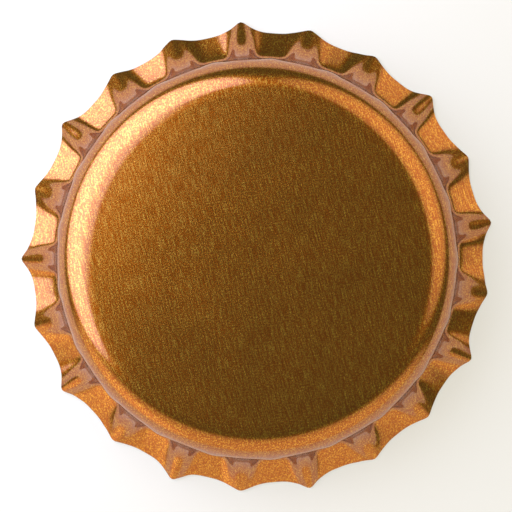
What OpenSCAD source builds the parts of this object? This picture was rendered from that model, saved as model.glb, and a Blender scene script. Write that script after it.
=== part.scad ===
// Crown cap for a glass bottle, as it leaves the press and before it is crimped on.
// It is a lacquered tinplate shell with a fluted, flaring skirt, and a soft liner
// moulded inside it that seals on the lip of the bottle.
// The cap rests on the edge of its skirt at z = 0 with its panel up, the Z axis is
// its own axis, and the crest of flute 0 points along +X.

/* [Shell] */
// Height from the edge of the skirt to the top of the panel
height = 6.0; // [5.8:0.05:6.3]
// Thickness of the tinplate
sheet = 0.235; // [0.21:0.005:0.28]
// Diameter inside the collar, where the lip of the bottle goes in
bore_diameter = 26.75; // [26.5:0.05:27]
// Outer radius of the shoulder that joins the panel to the collar
shoulder_radius = 1.95; // [1.6:0.05:2.2]
// Height of the straight collar between the shoulder and the flutes
collar_height = 0.45; // [0.3:0.05:0.7]

/* [Fluted skirt] */
// Number of flutes round the skirt
flutes = 21; // [19:1:24]
// Diameter over the crests of the sharp flutes
sharp_diameter = 32.25; // [31.8:0.05:32.6]
// Diameter over the crests of the blunt flutes
blunt_diameter = 31.75; // [31.4:0.05:32.2]
// Diameter over the edge of the facets between the flutes
facet_diameter = 30.7; // [30.4:0.05:31.2]
// Height of the crest tips above the level that the cap rests on
tip_height = 0.2; // [0.1:0.05:0.5]
// Slope of the facets at the edge, in degrees from level
facet_slope = 31; // [28:1:38]
// Radius of the bend where a facet turns out of the wall
facet_bend = 0.4; // [0.3:0.05:0.8]
// Radius of the bend where the crest of a sharp flute turns out of the wall
sharp_bend = 2; // [1.6:0.1:2.4]
// Radius of the bend where the crest of a blunt flute turns out of the wall
blunt_bend = 3; // [2.4:0.1:3.2]
// Half width of a flute, in degrees about the axis
flute_half_width = 5.4; // [5:0.1:5.8]

/* [Liner] */
// Thickness of the liner over the panel
liner_film = 0.28; // [0.2:0.02:0.4]
// Radius of the round bead that seals on the corner of the lip
seal_bead = 0.55; // [0.4:0.05:0.6]
// Angle of the bead up the shoulder, in degrees from level
seal_angle = 48; // [42:1:60]
// Radius of the inner bead that seals on top of the lip
inner_bead = 0.3; // [0.2:0.05:0.4]
// Height of the inner bead, down from the panel
inner_bead_height = 0.8; // [0.6:0.05:1]
// Distance of the inner bead from the axis
inner_bead_radius = 10.6; // [10.2:0.1:10.9]
// Clearance between the liner and the inside of the shoulder
liner_clearance = 0.02; // [0.01:0.01:0.05]

/* [Hidden] */
$fn = 96;

wall_radius = bore_diameter / 2 + sheet;
panel_radius = wall_radius - shoulder_radius;
panel_underside = height - sheet;
shoulder_z = height - shoulder_radius;
shoulder_inner_radius = shoulder_radius - sheet;
flute_top = shoulder_z - collar_height;

// The press leaves these flutes narrower and longer than the rest. They are counted
// anticlockwise from flute 0.
SHARP_FLUTES = [0, 2, 5, 8, 10, 12, 14, 16, 19];

// The skirt's root runs up inside the collar, and each of its faces stays this far
// inside the collar's own, so that the two join in one solid.
root_height = 0.25;
root_inset = 0.01;
skirt_wall = wall_radius - root_inset;
skirt_sheet = sheet - 2 * root_inset;

// Columns of the skirt over half a flute, as fractions of its half width, and rings
// down the skirt, as fractions of its length, closest together over the facet's bend.
FLUTE_COLUMNS = [0, 0.22, 0.42, 0.62, 0.81, 1];
RINGS = [0, 0.15, 0.3, 0.42, 0.49, 0.515, 0.54, 0.565, 0.59, 0.79, 1];

// A flute starts with steep sides and a flat crest, and opens out into an arch at its
// tip. The powers, at the root and at the tip, say how far its sides are hollowed. The
// sharp flutes keep their steep sides for longer.
ROOT_STEEPNESS = 1.7;
TIP_STEEPNESS = 1;
SHARP_POWERS = [5, 2.3];
BLUNT_POWERS = [2, 1.4];
SHARP_OPENING = 4;

// Share of the largest bend that would fit, which leaves the crest a straight run
LARGEST_BEND = 0.97;

// Steps along the length and round the skirt over which its direction is measured
LENGTH_STEP = 0.002;
ANGLE_STEP = 0.05;

function mix(from, to, share) = from + share * (to - from);
function arc_length(radius, angle) = radius * angle * PI / 180;
function is_sharp(flute) = len(search(flute, SHARP_FLUTES)) > 0;

// Outer profile of the skirt as [radius, z], at a distance down the metal: straight
// down the wall, round a bend that turns it outwards, and straight on to the edge
function profile(distance, wall, bend, turn) =
    let (around = distance - wall, beyond = around - arc_length(bend, turn))
    around < 0 ? [skirt_wall, flute_top - distance]
    : let (angle = beyond < 0 ? around / bend * 180 / PI : turn, run = max(beyond, 0))
      [skirt_wall + bend * (1 - cos(angle)) + run * sin(turn),
       flute_top - wall - bend * sin(angle) - run * cos(turn)];

// A facet runs at its own slope, and rests on the inner corner of its edge.
facet_turn = 90 - facet_slope;
facet_run = (facet_diameter / 2 - skirt_wall - facet_bend * (1 - cos(facet_turn))) / sin(facet_turn);
facet_wall = flute_top - skirt_sheet * cos(facet_slope) - facet_bend * sin(facet_turn)
    - facet_run * cos(facet_turn);
facet_length = facet_wall + arc_length(facet_bend, facet_turn) + facet_run;
function facet_at(share) = profile(share * facet_length, facet_wall, facet_bend, facet_turn);

// A crest leaves the wall at once and runs tangent to its bend, straight to its tip.
// Its bend is no larger than fits between the wall and the tip.
function crest_to_tip(tip_radius) = [tip_radius - skirt_wall, tip_height - flute_top];
function crest_bend(tip_radius, wanted) =
    let (to_tip = crest_to_tip(tip_radius))
    min(wanted, LARGEST_BEND * (to_tip * to_tip) / (2 * to_tip[0]));
function crest_at(share, tip_radius, wanted) =
    let (bend = crest_bend(tip_radius, wanted),
         to_tip = crest_to_tip(tip_radius) - [bend, 0],
         turn = atan2(to_tip[1], to_tip[0]) + 180 - acos(bend / norm(to_tip)),
         run = sqrt(to_tip * to_tip - bend * bend))
    profile(share * (arc_length(bend, turn) + run), 0, bend, turn);

// How far the metal stands from the facet towards the crest, from 0 to 1, at an angle
// from the middle of a flute
function crest_share(share, angle, sharp) =
    let (opened = sharp ? pow(share, SHARP_OPENING) : share,
         steepness = mix(ROOT_STEEPNESS, TIP_STEEPNESS, opened),
         powers = sharp ? SHARP_POWERS : BLUNT_POWERS,
         climb = steepness * max(0, 1 - abs(angle) / flute_half_width))
    pow(sin(90 * min(1, climb)), mix(powers[0], powers[1], opened));

// Point on the outside of the skirt, by the share of its length and the angle from
// flute 0
function outside(share, azimuth) =
    let (pitch = 360 / flutes,
         flute = round(azimuth / pitch),
         sharp = is_sharp((flute + flutes) % flutes),
         crest = sharp ? crest_at(share, sharp_diameter / 2, sharp_bend)
             : crest_at(share, blunt_diameter / 2, blunt_bend),
         section = mix(facet_at(share), crest, crest_share(share, azimuth - flute * pitch, sharp)))
    [section[0] * cos(azimuth), section[0] * sin(azimuth), section[1]];

// Point on the inside of the skirt, one sheet thickness square to the outside
function inside(share, azimuth) =
    let (down = outside(share + LENGTH_STEP, azimuth) - outside(share - LENGTH_STEP, azimuth),
         around = outside(share, azimuth + ANGLE_STEP) - outside(share, azimuth - ANGLE_STEP),
         normal = cross(down, around))
    outside(share, azimuth) - skirt_sheet * normal / norm(normal);

// Ring of the root that is buried in the collar
function root_ring(radius, azimuths) =
    [for (a = azimuths) [radius * cos(a), radius * sin(a), flute_top + root_height]];

// The skirt is lofted through closed sections: rings down its outside, across the cut
// edge, up its inside and over the root.
module fluted_skirt() {
    pitch = 360 / flutes;
    after_crest = flute_half_width * FLUTE_COLUMNS;
    before_crest = [for (i = [len(after_crest) - 1:-1:1]) pitch - after_crest[i]];
    columns = concat(after_crest, pitch / 2, before_crest);
    azimuths = [for (flute = [0:flutes - 1], column = columns) flute * pitch + column];
    around = len(azimuths);
    half_flute = len(columns) / 2;
    rings = [
        root_ring(skirt_wall, azimuths),
        for (share = RINGS) [for (a = azimuths) outside(share, a)],
        for (i = [len(RINGS) - 1:-1:0]) [for (a = azimuths) inside(RINGS[i], a)],
        root_ring(skirt_wall - skirt_sheet, azimuths)
    ];
    faces = [
        for (ring = [0:len(rings) - 1], column = [0:around - 1])
            let (here = ring * around,
                 below = (ring + 1) % len(rings) * around,
                 next = (column + 1) % around,
                 corners = [here + column, here + next, below + next, below + column],
                 first = column % len(columns) < half_flute ? 0 : 1)
            for (half = [0, 2])
                [for (corner = [0:2]) corners[(first + half + corner) % 4]]
    ];
    polyhedron(points = [for (ring = rings) each ring], faces = faces, convexity = 10);
}

// Half section of the panel, the shoulder and the collar
module upper_section() {
    translate([0, panel_underside]) square([panel_radius, sheet]);
    shoulder_band(shoulder_radius, sheet, 0);
    translate([wall_radius - sheet, flute_top]) square([sheet, collar_height]);
}

// Band along the shoulder, between its top and an angle from level
module shoulder_band(outer, thickness, from_angle) {
    translate([panel_radius, shoulder_z]) intersection() {
        difference() {
            circle(r = outer);
            circle(r = outer - thickness);
        }
        reach = 2 * outer;
        polygon([[0, 0], reach * [cos(from_angle), sin(from_angle)], [reach, reach], [0, reach]]);
    }
}

// Pressed tinplate shell, lacquered gold outside
module crown_shell() {
    color("#c08438") union() {
        rotate_extrude() upper_section();
        fluted_skirt();
    }
}

// Half section of the liner: a film over the panel and the shoulder, and two beads
module liner_section() {
    liner_outer = shoulder_inner_radius - liner_clearance;
    bead_place = liner_outer - seal_bead;
    translate([0, panel_underside - liner_film]) square([panel_radius, liner_film]);
    shoulder_band(liner_outer, liner_film - liner_clearance, seal_angle);
    translate([panel_radius + bead_place * cos(seal_angle), shoulder_z + bead_place * sin(seal_angle)])
        circle(r = seal_bead);
    translate([inner_bead_radius, panel_underside - inner_bead_height + inner_bead]) {
        circle(r = inner_bead);
        translate([-inner_bead, 0]) square([2 * inner_bead, inner_bead_height - inner_bead]);
    }
}

// Soft sealing liner, moulded against the underside of the panel
module sealing_liner() {
    color("#e6e3d8") rotate_extrude() liner_section();
}

crown_shell();
sealing_liner();
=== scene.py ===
import math
import random

import bmesh
import bpy
from mathutils import Matrix, Vector


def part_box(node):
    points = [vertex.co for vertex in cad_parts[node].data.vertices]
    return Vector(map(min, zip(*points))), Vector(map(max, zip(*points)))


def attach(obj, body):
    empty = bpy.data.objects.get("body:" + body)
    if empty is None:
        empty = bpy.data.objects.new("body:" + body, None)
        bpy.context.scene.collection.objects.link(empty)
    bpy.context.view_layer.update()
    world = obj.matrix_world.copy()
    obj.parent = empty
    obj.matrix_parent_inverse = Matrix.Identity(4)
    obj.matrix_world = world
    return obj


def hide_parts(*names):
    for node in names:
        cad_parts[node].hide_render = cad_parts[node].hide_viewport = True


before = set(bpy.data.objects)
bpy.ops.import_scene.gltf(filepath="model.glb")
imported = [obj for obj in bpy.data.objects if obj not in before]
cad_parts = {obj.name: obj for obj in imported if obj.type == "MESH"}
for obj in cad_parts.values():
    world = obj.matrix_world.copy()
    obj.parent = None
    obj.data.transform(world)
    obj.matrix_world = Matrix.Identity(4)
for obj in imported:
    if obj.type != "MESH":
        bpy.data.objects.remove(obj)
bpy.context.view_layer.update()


# ---------------------------------------------------------------- crown shell
# One round blank of lacquered tinplate, drawn into a panel, a rounded shoulder and a
# short collar, with flutes pressed into its skirt. The skirt is modelled first, as a
# coarse cage that is smoothed, and the rest grows out of its top edge.
mm = 0.001
sheet = 0.235 * mm
bore_radius = 13.375 * mm
wall_radius = bore_radius + sheet
shoulder_radius = 1.95 * mm
collar_height = 0.2 * mm
panel_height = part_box("crown_shell")[1].z
panel_dome = 0.012 * mm
shoulder_height = panel_height - panel_dome - shoulder_radius
flute_top = shoulder_height - collar_height

flutes = 21
pitch = math.radians(360 / flutes)
sharp_flutes = {0, 2, 5, 8, 10, 12, 14, 16, 19}
sharp_tip_radius = 16.27 * mm
blunt_tip_radius = 15.99 * mm
tip_height = 0.2 * mm
facet_radius = 15.37 * mm
facet_slope = math.radians(34)
facet_bend = 0.38 * mm
facet_flare = 18 * mm
sharp_bend = 3.3 * mm
blunt_bend = 3.7 * mm
root_half_width = math.radians(5.2)
tip_half_width = math.radians(7.1)

# A flute's columns, by their angle from its crest, and its rings, by their share of
# the way down the metal
column_angles = [math.radians(a) for a in (0, 1.3, 2.6, 3.8, 5, 6.5)] + [pitch / 2]
ring_shares = [0, 0.1, 0.2, 0.3, 0.38, 0.44, 0.48, 0.52, 0.57, 0.66, 0.83, 1]
columns = flutes * 2 * (len(column_angles) - 1)
even = 2 * math.pi / columns
near = even / 8


def between(start, end, share):
    """The value at a share of the way from start to end"""
    return start + (end - start) * share


def skirt_profile(distance, wall, bend, turn, flare=math.inf):
    """Radius and height at a distance down the outside: wall, bend, then a long flare"""
    if distance < wall:
        return wall_radius, flute_top - distance
    angle = min((distance - wall) / bend, turn)
    run = max(distance - wall - bend * turn, 0)
    middle = turn + run / flare / 2
    return (
        wall_radius + bend * (1 - math.cos(angle)) + run * math.sin(middle),
        flute_top - wall - bend * math.sin(angle) - run * math.cos(middle),
    )


def facet_point(share):
    """A facet falls down the wall, bends out tightly and flares to rest on its edge"""
    turn = math.pi / 2 - facet_slope
    out = facet_radius - wall_radius - facet_bend * (1 - math.cos(turn))
    edge_turn = math.acos(math.cos(turn) - out / facet_flare)
    run = (edge_turn - turn) * facet_flare
    drop = facet_bend * math.sin(turn) + (math.sin(edge_turn) - math.sin(turn)) * facet_flare
    wall = flute_top - sheet * math.sin(edge_turn) - drop
    length = wall + facet_bend * turn + run
    return skirt_profile(share * length, wall, facet_bend, turn, facet_flare)


def crest_point(share, tip_radius, bend):
    """A crest bends out of the wall at once and runs straight to its tip"""
    across = tip_radius - wall_radius - bend
    down = tip_height - flute_top
    reach = math.hypot(across, down)
    turn = math.atan2(down, across) + math.pi - math.acos(bend / reach)
    run = math.sqrt(reach**2 - bend**2)
    return skirt_profile(share * (bend * turn + run), 0, bend, turn)


def crest_pull(share, angle, sharp):
    """How far the metal stands from the facet towards the crest, from 0 to 1. A flute
    starts with steep sides and a flat crest, and opens out into a roof at its tip. A
    sharp flute opens later, and its sides are more hollow."""
    if sharp:
        lateness, root_steepness, root_hollow, tip_hollow = 3, 1.4, 4.7, 4
    else:
        lateness, root_steepness, root_hollow, tip_hollow = 1.5, 1.7, 3.1, 3.1
    opened = share**lateness
    steepness = between(root_steepness, 1, opened)
    hollow = between(root_hollow, tip_hollow, opened)
    half_width = between(root_half_width, tip_half_width, opened)
    climb = min(1, steepness * max(0, 1 - abs(angle) / half_width))
    flat_crest = math.sin(math.pi / 2 * climb) ** hollow
    roof = climb ** (hollow / 2)
    return between(flat_crest, roof, opened)


def column_point(share, angle, sharp):
    """A column stands between the facet and the crest by its angle from the crest"""
    pull = crest_pull(share, angle, sharp)
    if sharp:
        crest = crest_point(share, sharp_tip_radius, sharp_bend)
    else:
        crest = crest_point(share, blunt_tip_radius, blunt_bend)
    return [between(low, high, pull) for low, high in zip(facet_point(share), crest)]


def edge_column(vert):
    """The flute that a point belongs to, and its angle from that flute's crest"""
    azimuth = math.atan2(vert.co.y, vert.co.x) % (2 * math.pi)
    flute = round(azimuth / pitch)
    return flute % flutes, azimuth - flute * pitch


def select_only(shell, chosen):
    """Leave nothing selected but these points, and what lies between them"""
    for vert in shell.verts:
        vert.select = False
    for edge in shell.edges:
        edge.select = False
    for face in shell.faces:
        face.select = False
    for vert in chosen:
        vert.select = True
    shell.select_flush_mode()


def move_ring(ratio, height_change):
    """Widen what is selected about the cap's axis, and raise it"""
    bpy.ops.transform.resize(value=(ratio, ratio, 1), center_override=(0, 0, 0))
    bpy.ops.transform.translate(value=(0, 0, height_change))


bpy.ops.object.select_all(action="DESELECT")
bpy.ops.mesh.primitive_circle_add(vertices=columns, radius=wall_radius, location=(0, 0, flute_top))
crown_shell = bpy.context.object
crown_shell.name = "lacquered_shell"
bpy.ops.object.transform_apply(location=True)
bpy.ops.object.mode_set(mode="EDIT")
shell = bmesh.from_edit_mesh(crown_shell.data)

# gather the evenly spaced columns towards the crests
for step, wanted in enumerate(column_angles[1:-1], start=1):
    for side in (-1, 1):
        select_only(
            shell,
            [v for v in shell.verts if abs(edge_column(v)[1] - side * step * even) < near],
        )
        bpy.ops.transform.rotate(
            value=-side * (wanted - step * even), orient_axis="Z", center_override=(0, 0, 0)
        )

# draw the skirt down from the collar, ring by ring
here_of = {}
rings = []
select_only(shell, shell.verts)
for share in ring_shares:
    if share > 0:
        bpy.ops.mesh.extrude_edges_move()
    ring = [v for v in shell.verts if v.select]
    places = [(v, *edge_column(v)) for v in ring]
    for sharp in (True, False):
        for angle in column_angles:
            column = [
                v
                for v, flute, off in places
                if (flute in sharp_flutes) == sharp and abs(abs(off) - angle) < near
            ]
            select_only(shell, column)
            here = here_of.get((sharp, angle), (wall_radius, flute_top))
            there = column_point(share, angle, sharp)
            move_ring(there[0] / here[0], there[1] - here[1])
            here_of[sharp, angle] = there
    select_only(shell, ring)
    rings.append(places)

# no two strokes of the press leave quite the same flute: its last rings reach further
# or less far, are twisted round the cap, and leave the facet after it a little higher
press = random.Random(21)
greatest_reach = 0.055 * mm
greatest_twist = math.radians(0.3)
greatest_lift = 0.035 * mm
crest_half_width = math.radians(3)
facet_start = math.radians(5)
varied_rings = 4
last_even_share = ring_shares[-varied_rings - 1]
for flute in range(flutes):
    reach = press.uniform(-greatest_reach, greatest_reach)
    twist = press.uniform(-greatest_twist, greatest_twist)
    lift = press.uniform(0, greatest_lift)
    for share, places in zip(ring_shares[-varied_rings:], rings[-varied_rings:]):
        part = (share - last_even_share) / (1 - last_even_share)
        crest = [v for v, at, off in places if at == flute and abs(off) < crest_half_width]
        select_only(shell, crest)
        bpy.ops.transform.rotate(value=-twist * part, orient_axis="Z", center_override=(0, 0, 0))
        move_ring(1 + reach * part / sharp_tip_radius, 0)
        facet = [v for v, at, off in places if at == flute and off > facet_start]
        select_only(shell, facet)
        move_ring(1, lift * part)
bpy.ops.object.mode_set(mode="OBJECT")

smoothing = crown_shell.modifiers.new("smooth skirt", "SUBSURF")
smoothing.levels = smoothing.render_levels = 1
bpy.ops.object.modifier_apply(modifier=smoothing.name)

# the collar, the shoulder and the panel grow out of the skirt's top edge
bpy.ops.object.mode_set(mode="EDIT")
shell = bmesh.from_edit_mesh(crown_shell.data)
hair = 0.001 * mm
select_only(shell, [v for v in shell.verts if v.co.z > flute_top - hair])
shoulder_steps = 24
panel_radius = wall_radius - shoulder_radius
panel_rings = (11.35 * mm, 11.1 * mm, 8 * mm, 4 * mm, 0.5 * mm)
radius, height = wall_radius, flute_top
for step in range(shoulder_steps + 1):
    angle = math.pi / 2 * step / shoulder_steps
    next_radius = panel_radius + shoulder_radius * math.cos(angle)
    next_height = shoulder_height + shoulder_radius * math.sin(angle)
    bpy.ops.mesh.extrude_edges_move()
    move_ring(next_radius / radius, next_height - height)
    radius, height = next_radius, next_height
for next_radius in panel_rings:
    bpy.ops.mesh.extrude_edges_move()
    move_ring(next_radius / radius, panel_height - height)
    radius, height = next_radius, panel_height
bpy.ops.mesh.extrude_edges_move()
bpy.ops.mesh.merge(type="CENTER")

# the metal swells a little under the shoulder where the press left it between flutes
swell = 0.09 * mm
swell_reach = 1.1 * mm
swell_bottom, swell_top = 3.2 * mm, 3.9 * mm
between_flutes = pitch / 2 - math.radians(0.5)
swollen = [v for v in shell.verts if swell_bottom < v.co.z < swell_top]
select_only(shell, [v for v in swollen if abs(edge_column(v)[1]) > between_flutes])
bpy.ops.transform.resize(
    value=(1 + swell / wall_radius, 1 + swell / wall_radius, 1),
    center_override=(0, 0, 0),
    use_proportional_edit=True,
    proportional_edit_falloff="SMOOTH",
    proportional_size=swell_reach,
)
bpy.ops.mesh.select_all(action="SELECT")
bpy.ops.mesh.normals_make_consistent(inside=False)
bpy.ops.object.mode_set(mode="OBJECT")
bpy.ops.object.shade_smooth()

# the outside, the inside and the cut edge each get a material slot of their own
outside_slot, inside_slot, edge_slot = range(3)
for slot in (outside_slot, inside_slot, edge_slot):
    bpy.ops.object.material_slot_add()
thickness = crown_shell.modifiers.new("sheet thickness", "SOLIDIFY")
thickness.thickness = sheet
thickness.offset = -1
thickness.use_even_offset = True
thickness.material_offset = inside_slot - outside_slot
thickness.material_offset_rim = edge_slot - outside_slot
bpy.ops.object.modifier_apply(modifier=thickness.name)

# blunt the two corners of the cut edge
blunting = 0.035 * mm
bpy.ops.object.mode_set(mode="EDIT")
bpy.ops.mesh.select_mode(type="EDGE")
bpy.ops.mesh.select_all(action="DESELECT")
shell = bmesh.from_edit_mesh(crown_shell.data)
for edge in shell.edges:
    edge.select = [face.material_index for face in edge.link_faces].count(edge_slot) == 1
shell.select_flush_mode()
bpy.ops.mesh.bevel(offset=blunting, segments=1, material=edge_slot)
bpy.ops.mesh.select_mode(type="VERT")
bpy.ops.object.mode_set(mode="OBJECT")
bpy.ops.object.shade_smooth_by_angle(angle=math.radians(40))


def new_group(name, inputs, outputs):
    """An empty shader node group with its sockets, and its input and output nodes"""
    group = bpy.data.node_groups.new(name, "ShaderNodeTree")
    for socket, value in inputs.items():
        made = group.interface.new_socket(socket, in_out="INPUT", socket_type="NodeSocketFloat")
        made.default_value = value
    for socket in outputs:
        group.interface.new_socket(socket, in_out="OUTPUT", socket_type="NodeSocketFloat")
    return group, group.nodes.new("NodeGroupInput"), group.nodes.new("NodeGroupOutput")


def add_node(tree, kind, links=(), **settings):
    """A node with its settings, and its sockets filled from values or other sockets"""
    node = tree.nodes.new(kind)
    for name, value in settings.items():
        setattr(node, name, value)
    for socket, source in dict(links).items():
        if isinstance(source, bpy.types.NodeSocket):
            tree.links.new(source, node.inputs[socket])
        else:
            node.inputs[socket].default_value = source
    return node


# a Mix node's two colours and its mixed colour, by number because its names repeat
first_colour, second_colour, mixed_colour = 6, 7, 2

# rolled tinplate: long streaks from the mill, the orange peel of a stoved lacquer, the
# glints of bare metal between its grains, and a slow cloud in its sheen
mill_turn = math.radians(-6.4)
rolled_sheet, grain_in, grain_out = new_group(
    "rolled_sheet",
    {"Streaks Across": 15000, "Streaks Along": 900, "Peel Scale": 14000, "Streak Share": 0.4},
    ("Height", "Glints", "Cloud"),
)
on_piece = add_node(rolled_sheet, "ShaderNodeTexCoord").outputs["Object"]
spread = add_node(
    rolled_sheet,
    "ShaderNodeCombineXYZ",
    {
        "X": grain_in.outputs["Streaks Across"],
        "Y": grain_in.outputs["Streaks Along"],
        "Z": grain_in.outputs["Streaks Across"],
    },
)
turned = add_node(
    rolled_sheet,
    "ShaderNodeMapping",
    {"Vector": on_piece, "Rotation": (0, 0, mill_turn)},
)
stretched = add_node(
    rolled_sheet,
    "ShaderNodeVectorMath",
    {0: turned.outputs["Vector"], 1: spread.outputs["Vector"]},
    operation="MULTIPLY",
)
streaks = add_node(
    rolled_sheet,
    "ShaderNodeTexNoise",
    {"Vector": stretched.outputs["Vector"], "Scale": 1, "Detail": 2, "Roughness": 0.6},
)
peel = add_node(
    rolled_sheet,
    "ShaderNodeTexNoise",
    {"Vector": on_piece, "Scale": grain_in.outputs["Peel Scale"], "Detail": 2, "Roughness": 0.6},
)
cloud = add_node(
    rolled_sheet,
    "ShaderNodeTexNoise",
    {"Vector": on_piece, "Scale": 420, "Detail": 2, "Roughness": 0.5},
)
relief = add_node(
    rolled_sheet,
    "ShaderNodeMix",
    {
        "Factor": grain_in.outputs["Streak Share"],
        "A": peel.outputs["Fac"],
        "B": streaks.outputs["Fac"],
    },
)
speckle = add_node(
    rolled_sheet,
    "ShaderNodeTexNoise",
    {"Vector": on_piece, "Scale": 9500, "Detail": 2, "Roughness": 0.7},
)
glint_grain = add_node(
    rolled_sheet,
    "ShaderNodeMix",
    {"Factor": 0.45, "A": speckle.outputs["Fac"], "B": streaks.outputs["Fac"]},
)
glints = add_node(
    rolled_sheet,
    "ShaderNodeMapRange",
    {"Value": glint_grain.outputs["Result"], "From Min": 0.47, "From Max": 0.68},
)
rolled_sheet.links.new(glints.outputs["Result"], grain_out.inputs["Glints"])
rolled_sheet.links.new(relief.outputs["Result"], grain_out.inputs["Height"])
rolled_sheet.links.new(cloud.outputs["Fac"], grain_out.inputs["Cloud"])


def metal_material(name, colour, glint_colour, roughness, coat, relief_depth, edge_tint=(1, 1, 1)):
    """Rolled metal under a clear coat, or bare where its coat is 0. The edge tint is the
    metal's own, where it is seen at a slant."""
    cloud_strength = 0.01
    material = bpy.data.materials.new(name)
    material.use_nodes = True
    tree = material.node_tree
    shader = tree.nodes["Principled BSDF"]
    shader.inputs["Metallic"].default_value = 1
    shader.inputs["Coat Weight"].default_value = coat
    shader.inputs["Coat Roughness"].default_value = 0.07
    shader.inputs["Coat IOR"].default_value = 1.6
    shader.inputs["Specular Tint"].default_value = (*edge_tint, 1)
    sheet_grain = add_node(tree, "ShaderNodeGroup", node_tree=rolled_sheet)
    tint = add_node(
        tree,
        "ShaderNodeMix",
        {
            "Factor": sheet_grain.outputs["Glints"],
            first_colour: (*colour, 1),
            second_colour: (*glint_colour, 1),
        },
        data_type="RGBA",
    )
    tree.links.new(tint.outputs[mixed_colour], shader.inputs["Base Color"])
    sheen = add_node(
        tree,
        "ShaderNodeMapRange",
        {
            "Value": sheet_grain.outputs["Cloud"],
            "From Min": 0.3,
            "From Max": 0.7,
            "To Min": roughness - cloud_strength,
            "To Max": roughness + cloud_strength,
        },
    )
    tree.links.new(sheen.outputs["Result"], shader.inputs["Roughness"])
    bump = add_node(
        tree,
        "ShaderNodeBump",
        {"Height": sheet_grain.outputs["Height"], "Distance": relief_depth, "Strength": 1},
    )
    tree.links.new(bump.outputs["Normal"], shader.inputs["Normal"])
    return material


outside, inside, cut_edge = crown_shell.material_slots
outside.material = metal_material(
    "gold lacquer",
    colour=(0.385, 0.087, 0.0005),
    glint_colour=(0.8, 0.44, 0.08),
    roughness=0.225,
    coat=1,
    relief_depth=0.004 * mm,
    edge_tint=(0.6, 0.43, 0.32),
)
inside.material = metal_material(
    "clear lacquer",
    colour=(0.6, 0.57, 0.5),
    glint_colour=(0.8, 0.78, 0.72),
    roughness=0.28,
    coat=0.5,
    relief_depth=0.003 * mm,
)
cut_edge.material = metal_material(
    "cut edge",
    colour=(0.5, 0.48, 0.45),
    glint_colour=(0.75, 0.74, 0.72),
    roughness=0.35,
    coat=0,
    relief_depth=0.003 * mm,
)

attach(crown_shell, "root")
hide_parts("crown_shell")


# ---------------------------------------------------------------- sealing liner
# A soft, off-white compound, dropped into the shell and moulded hot against the
# underside of the panel: a thin film with a sealing bead and a smaller bead inside
# it. It is out of sight from above, so the CAD piece shows it as it is.
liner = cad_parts["sealing_liner"]
liner_material = bpy.data.materials.new("liner compound")
liner_material.use_nodes = True
liner_tree = liner_material.node_tree
liner_shader = liner_tree.nodes["Principled BSDF"]
liner_shader.inputs["Subsurface Weight"].default_value = 0.15
liner_shader.inputs["Subsurface Scale"].default_value = 0.4 * mm
on_liner = add_node(liner_tree, "ShaderNodeTexCoord").outputs["Object"]
mottle = add_node(
    liner_tree, "ShaderNodeTexNoise", {"Vector": on_liner, "Scale": 900, "Detail": 3}
)
compound = add_node(
    liner_tree,
    "ShaderNodeMix",
    {
        "Factor": mottle.outputs["Fac"],
        first_colour: (0.8, 0.79, 0.73, 1),
        second_colour: (0.72, 0.7, 0.62, 1),
    },
    data_type="RGBA",
)
gloss = add_node(
    liner_tree,
    "ShaderNodeMapRange",
    {"Value": mottle.outputs["Fac"], "To Min": 0.38, "To Max": 0.55},
)
mould_grain = add_node(
    liner_tree, "ShaderNodeTexNoise", {"Vector": on_liner, "Scale": 6000, "Detail": 2}
)
mould_relief = add_node(
    liner_tree,
    "ShaderNodeBump",
    {"Height": mould_grain.outputs["Fac"], "Distance": 0.006 * mm, "Strength": 1},
)
liner_tree.links.new(compound.outputs[mixed_colour], liner_shader.inputs["Base Color"])
liner_tree.links.new(gloss.outputs["Result"], liner_shader.inputs["Roughness"])
liner_tree.links.new(mould_relief.outputs["Normal"], liner_shader.inputs["Normal"])
liner.data.materials.clear()
liner.data.materials.append(liner_material)


# ---------------------------------------------------------------- table and light
# A matt white table top, and four large softboxes round the cap: a bright, cool one
# at the left, which lights one side of the shoulder, and three dimmer, warmer ones.
glowing_share = 0.5
bpy.ops.object.select_all(action="DESELECT")
bpy.ops.mesh.primitive_plane_add(size=8)
table = bpy.context.object
table.name = "table_top"
table_material = bpy.data.materials.new("white table")
table_material.use_nodes = True
table_tree = table_material.node_tree
table_shader = table_tree.nodes["Principled BSDF"]
table_shader.inputs["Base Color"].default_value = (0.78, 0.78, 0.76, 1)
table_shader.inputs["Roughness"].default_value = 0.8
seen_by = add_node(table_tree, "ShaderNodeLightPath")
seen_or_mirrored = add_node(
    table_tree,
    "ShaderNodeMath",
    {0: seen_by.outputs["Is Camera Ray"], 1: seen_by.outputs["Is Glossy Ray"]},
    operation="MAXIMUM",
)
seen_at_all = add_node(
    table_tree,
    "ShaderNodeMath",
    {0: seen_or_mirrored.outputs["Value"], 1: seen_by.outputs["Is Transmission Ray"]},
    operation="MAXIMUM",
)
white_share = add_node(
    table_tree,
    "ShaderNodeMath",
    {0: seen_at_all.outputs["Value"], 1: glowing_share},
    operation="MULTIPLY",
)
white = add_node(table_tree, "ShaderNodeEmission", {"Color": (1, 1, 1, 1), "Strength": 1})
blended = add_node(
    table_tree,
    "ShaderNodeMixShader",
    {
        0: white_share.outputs["Value"],
        1: table_shader.outputs["BSDF"],
        2: white.outputs["Emission"],
    },
)
table_tree.links.new(
    blended.outputs["Shader"], table_tree.nodes["Material Output"].inputs["Surface"]
)
table.data.materials.append(table_material)

view_roll = math.radians(8.56)


def direction(azimuth, rise):
    """Which way an azimuth and a rise from level point"""
    return Vector(
        (math.cos(azimuth) * math.cos(rise), math.sin(azimuth) * math.cos(rise), math.sin(rise))
    )


def standing(place, right, up, back):
    """Where a lamp or a camera stands, with the directions of its own three axes"""
    return Matrix.Translation(place) @ Matrix((right, up, back)).transposed().to_4x4()


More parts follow.
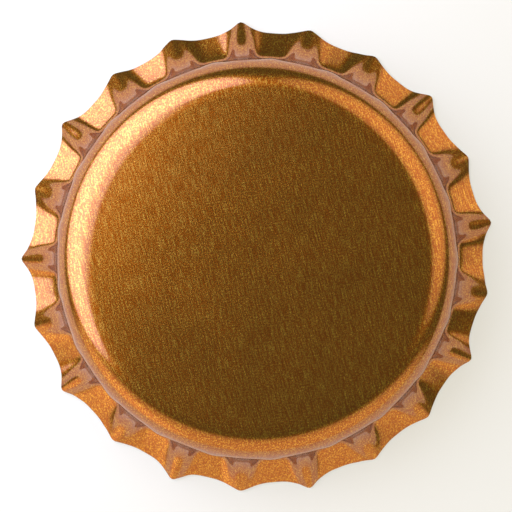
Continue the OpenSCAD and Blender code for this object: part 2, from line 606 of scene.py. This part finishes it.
def softbox(name, azimuth, rise, distance, across, along, brightness, colour):
    """A lamp that faces the cap from an azimuth, as the camera sees it, and a rise. It
    reaches across and along that line from and to shares of its distance, and is
    dimmer towards its edges."""
    turn = math.radians(azimuth) - view_roll
    away = direction(turn, math.radians(rise))
    side = Vector((-math.sin(turn), math.cos(turn), 0))
    top = away.cross(side)
    middle = away + side * sum(across) / 2 + top * sum(along) / 2
    lamp_data = bpy.data.lights.new(name, "AREA")
    lamp_data.shape = "RECTANGLE"
    lamp_data.color = colour
    lamp_data.size = (across[1] - across[0]) * distance
    lamp_data.size_y = (along[1] - along[0]) * distance
    lamp_data.energy = brightness * math.pi * lamp_data.size * lamp_data.size_y
    lamp_data.use_nodes = True
    tree = lamp_data.node_tree
    place = add_node(tree, "ShaderNodeNewGeometry")
    centred = add_node(
        tree,
        "ShaderNodeVectorMath",
        {0: place.outputs["Parametric"], 1: (2, 2, 0), 2: (-1, -1, 0)},
        operation="MULTIPLY_ADD",
    )
    from_middle = add_node(
        tree, "ShaderNodeVectorMath", {0: centred.outputs["Vector"]}, operation="LENGTH"
    )
    falloff = add_node(tree, "ShaderNodeValToRGB", {"Fac": from_middle.outputs["Value"]})
    falloff.color_ramp.elements[0].color = (1, 1, 1, 1)
    falloff.color_ramp.elements[1].position = 1
    falloff.color_ramp.elements[1].color = (0, 0, 0, 1)
    for position, level in ((0.4, 0.95), (0.9, 0.6)):
        falloff.color_ramp.elements.new(position).color = (level, level, level, 1)
    tree.links.new(falloff.outputs["Color"], tree.nodes["Emission"].inputs["Strength"])
    lamp = bpy.data.objects.new(name, lamp_data)
    bpy.context.scene.collection.objects.link(lamp)
    lamp.matrix_world = standing(middle * distance, side, top, away)
    lamp.visible_camera = False


softbox(
    "key_softbox",
    azimuth=154,
    rise=42,
    distance=0.062,
    across=(-0.92, 0.92),
    along=(-0.67, 0.82),
    brightness=4,
    colour=(1, 1, 1.25),
)
softbox(
    "right_softbox",
    azimuth=30,
    rise=45,
    distance=0.2,
    across=(-0.76, 0.8),
    along=(-0.76, 0.68),
    brightness=1.35,
    colour=(1, 0.78, 0.45),
)
softbox(
    "lower_softbox",
    azimuth=262,
    rise=20,
    distance=0.2,
    across=(-1.8, 2.5),
    along=(-0.7, 0.74),
    brightness=0.98,
    colour=(1, 0.76, 0.42),
)
softbox(
    "corner_softbox",
    azimuth=222,
    rise=10,
    distance=0.2,
    across=(-0.5, 0.5),
    along=(-0.45, 0.45),
    brightness=0.6,
    colour=(1, 0.76, 0.42),
)

# the room beyond the lamps is dim, with an olive cast
world = bpy.data.worlds.new("studio")
bpy.context.scene.world = world
world.use_nodes = True
world.node_tree.nodes["Background"].inputs["Color"].default_value = (0.16, 0.195, 0.09, 1)


# ---------------------------------------------------------------- camera
# A long lens nearly straight above the cap. It leans a little towards the top of the
# view, is rolled about its own line, and looks a little to one side of the axis.
camera_distance = 1.0
view_width = 34.92 * mm
lean = math.radians(1.5)
lean_azimuth = math.radians(68) - view_roll
centre_right = 0.111 * mm
centre_up = -0.12 * mm
camera_data = bpy.data.cameras.new("camera")
camera = bpy.data.objects.new("camera", camera_data)
bpy.context.scene.collection.objects.link(camera)
camera_data.lens = camera_data.sensor_width * camera_distance / view_width
camera_data.clip_start = 0.1
camera_data.clip_end = 10
towards = direction(lean_azimuth, math.pi / 2 - lean)
level_right = Vector((math.cos(view_roll), -math.sin(view_roll), 0))
image_up = towards.cross(level_right).normalized()
image_right = image_up.cross(towards)
aim = -centre_right * image_right - centre_up * image_up
camera.matrix_world = standing(aim + towards * camera_distance, image_right, image_up, towards)
bpy.context.scene.camera = camera

bpy.context.scene.view_settings.view_transform = "Standard"
